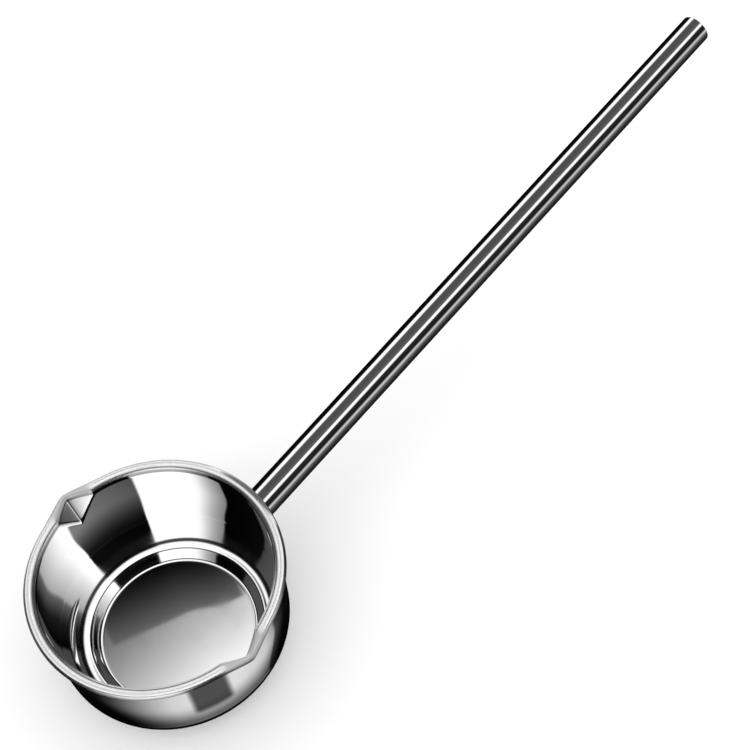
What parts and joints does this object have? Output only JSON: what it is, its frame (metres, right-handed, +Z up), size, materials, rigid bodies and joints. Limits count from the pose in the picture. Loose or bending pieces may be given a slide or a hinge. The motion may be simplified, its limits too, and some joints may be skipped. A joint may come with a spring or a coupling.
{
  "type": "candle melting pot",
  "caption": "Small stainless bowl with opposed pouring spouts and a long straight tube handle, for melting and pouring wax.",
  "frame": {"origin": "centre of the flat underside that the pot stands on", "axes": "+Z up out of the bowl's mouth, +X along the handle towards its far end, spouts towards +Y and -Y"},
  "size_m": [0.373, 0.1038, 0.0714],
  "materials": {
    "bowl_steel": "mirror polished stainless steel with faint spun lines",
    "tube_steel": "mirror polished stainless steel tube",
    "bracket_steel": "pressed stainless steel, satin",
    "plug_steel": "pressed stainless steel, lightly polished",
    "weld_metal": "brushed weld bead with slight heat tint"
  },
  "bodies": {
    "root": {"bowl": "bowl_steel", "handle_bracket": "bracket_steel", "handle_tube": "tube_steel", "end_plug": "plug_steel", "bracket_weld": "weld_metal", "tube_weld": "weld_metal"}
  },
  "joints": []
}
